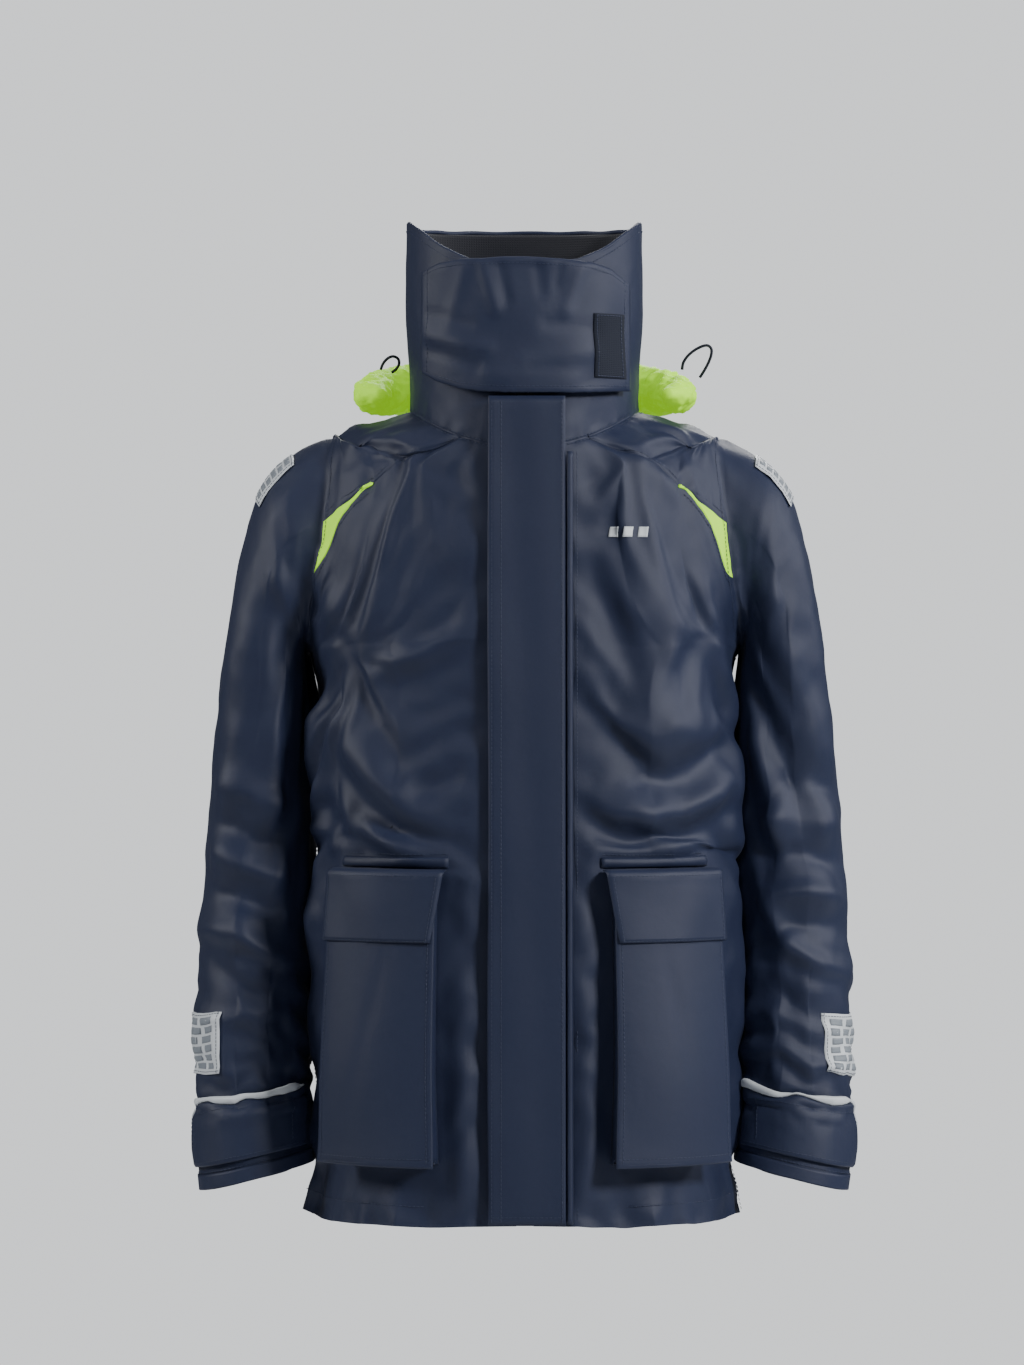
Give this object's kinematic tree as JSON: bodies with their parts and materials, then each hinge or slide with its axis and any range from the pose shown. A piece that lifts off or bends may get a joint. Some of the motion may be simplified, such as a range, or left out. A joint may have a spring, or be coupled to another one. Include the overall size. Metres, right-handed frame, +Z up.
{
  "type": "foul weather jacket",
  "caption": "Worn foul weather sailing jacket with storm flap over a front zip, high collar with face guard, bellows pockets and stowed hood.",
  "frame": {"origin": "centre of the neck opening at the collar seam, where the wearer's neck carries the jacket", "axes": "+Z up, -Y the way the wearer faces, +X the wearer's left"},
  "size_m": [0.5938, 0.3742, 0.883],
  "materials": {
    "navy_shell": "matte coated weave",
    "dark_lining": "matte knit",
    "black_fleece": "fleece",
    "lime_shell": "fluorescent weave",
    "reflective": "retroreflective, light blocks",
    "black_tape": "hook and loop",
    "zip_plastic": "moulded",
    "elastic": "braided elastic"
  },
  "bodies": {
    "shell": {"front_panel_left": "navy_shell", "front_panel_right": "navy_shell", "back_panel": "navy_shell", "front_yoke_left": "navy_shell", "front_yoke_right": "navy_shell", "back_yoke": "navy_shell", "chest_insert_left": "lime_shell", "chest_insert_right": "lime_shell", "body_lining": "dark_lining", "collar_shell": "navy_shell", "collar_lining": "black_fleece", "storm_flap_welt": "navy_shell", "zip_tape_left": "black_tape", "zip_tape_right": "black_tape", "zip_teeth": "zip_plastic", "zip_box": "zip_plastic", "inner_storm_flap": "navy_shell", "placket_loop_strip": "black_tape", "guard_loop_patch": "black_tape", "pocket_front_left": "navy_shell", "pocket_front_right": "navy_shell", "pocket_gusset_left": "navy_shell", "pocket_gusset_right": "navy_shell", "pocket_welt_left": "navy_shell", "pocket_welt_right": "navy_shell", "hood_neck": "lime_shell", "hood_cord_left": "elastic", "hood_cord_right": "elastic", "hanger_loop": "navy_shell", "chest_emblem": "reflective"},
    "storm_flap": {"storm_flap": "navy_shell", "storm_flap_hook_strip": "black_tape"},
    "face_guard": {"face_guard": "navy_shell", "face_guard_tape": "black_tape"},
    "zip_slider": {"zip_slider": "zip_plastic"},
    "zip_puller": {"zip_puller": "zip_plastic"},
    "hood_bag": {"hood_bag": "lime_shell"},
    "pocket_flap_left": {"pocket_flap_left": "navy_shell"},
    "sleeve_left": {"sleeve_upper_left": "navy_shell", "shoulder_patch_left": "reflective"},
    "forearm_left": {"sleeve_forearm_left": "navy_shell", "cuff_band_left": "navy_shell", "inner_cuff_left": "dark_lining", "forearm_patch_left": "reflective", "cuff_loop_left": "black_tape"},
    "cuff_tab_left": {"cuff_tab_left": "navy_shell", "cuff_piping_left": "reflective"},
    "pocket_flap_right": {"pocket_flap_right": "navy_shell"},
    "sleeve_right": {"sleeve_upper_right": "navy_shell", "shoulder_patch_right": "reflective"},
    "forearm_right": {"sleeve_forearm_right": "navy_shell", "cuff_band_right": "navy_shell", "inner_cuff_right": "dark_lining", "forearm_patch_right": "reflective", "cuff_loop_right": "black_tape"},
    "cuff_tab_right": {"cuff_tab_right": "navy_shell", "cuff_piping_right": "reflective"}
  },
  "joints": [
    {"name": "storm_flap_opens", "type": "hinge", "parent": "shell", "child": "storm_flap", "pos_m": [0.036, -0.16327, -0.33914], "axis": [0, 0.0499, 0.9988], "range_deg": [0, 110]},
    {"name": "face_guard_opens", "type": "hinge", "parent": "shell", "child": "face_guard", "pos_m": [-0.0916, -0.107, 0.085], "axis": [0, 0, -1], "range_deg": [0, 100]},
    {"name": "zip_runs", "type": "slide", "parent": "shell", "child": "zip_slider", "axis": [0, -0.0499, -0.9988], "range_m": [0, 0.75]},
    {"name": "zip_puller_swings", "type": "hinge", "parent": "zip_slider", "child": "zip_puller", "pos_m": [0, -0.1358, 0.10805], "axis": [0, -0.9988, 0.0499], "range_deg": [-45, 45]},
    {"name": "hood_lifts", "type": "hinge", "parent": "shell", "child": "hood_bag", "pos_m": [0, 0.139, -0.004], "axis": [1, 0, 0], "range_deg": [0, 110]},
    {"name": "pocket_flap_opens_left", "type": "hinge", "parent": "shell", "child": "pocket_flap_left", "pos_m": [0.141, -0.151, -0.39], "axis": [-0.8471, -0.5314, 0], "range_deg": [0, 100]},
    {"name": "sleeve_lifts_left", "type": "hinge", "parent": "shell", "child": "sleeve_left", "pos_m": [0.172, 0.005, -0.001], "axis": [0, -1, 0], "range_deg": [0, 35]},
    {"name": "elbow_bends_left", "type": "hinge", "parent": "sleeve_left", "child": "forearm_left", "pos_m": [0.24, -0.0648, -0.42], "axis": [-1, 0, 0], "range_deg": [0, 60]},
    {"name": "cuff_tab_opens_left", "type": "hinge", "parent": "forearm_left", "child": "cuff_tab_left", "pos_m": [0.1966, -0.0626, -0.6031], "axis": [-0.0067, -0.1663, -0.9861], "range_deg": [0, 50]},
    {"name": "pocket_flap_opens_right", "type": "hinge", "parent": "shell", "child": "pocket_flap_right", "pos_m": [-0.141, -0.151, -0.39], "axis": [-0.8471, 0.5314, 0], "range_deg": [0, 100]},
    {"name": "sleeve_lifts_right", "type": "hinge", "parent": "shell", "child": "sleeve_right", "pos_m": [-0.172, 0.005, -0.001], "axis": [0, 1, 0], "range_deg": [0, 35]},
    {"name": "elbow_bends_right", "type": "hinge", "parent": "sleeve_right", "child": "forearm_right", "pos_m": [-0.24, -0.0648, -0.42], "axis": [-1, 0, 0], "range_deg": [0, 60]},
    {"name": "cuff_tab_opens_right", "type": "hinge", "parent": "forearm_right", "child": "cuff_tab_right", "pos_m": [-0.1966, -0.0626, -0.6031], "axis": [-0.0067, 0.1663, 0.9861], "range_deg": [0, 50]}
  ]
}
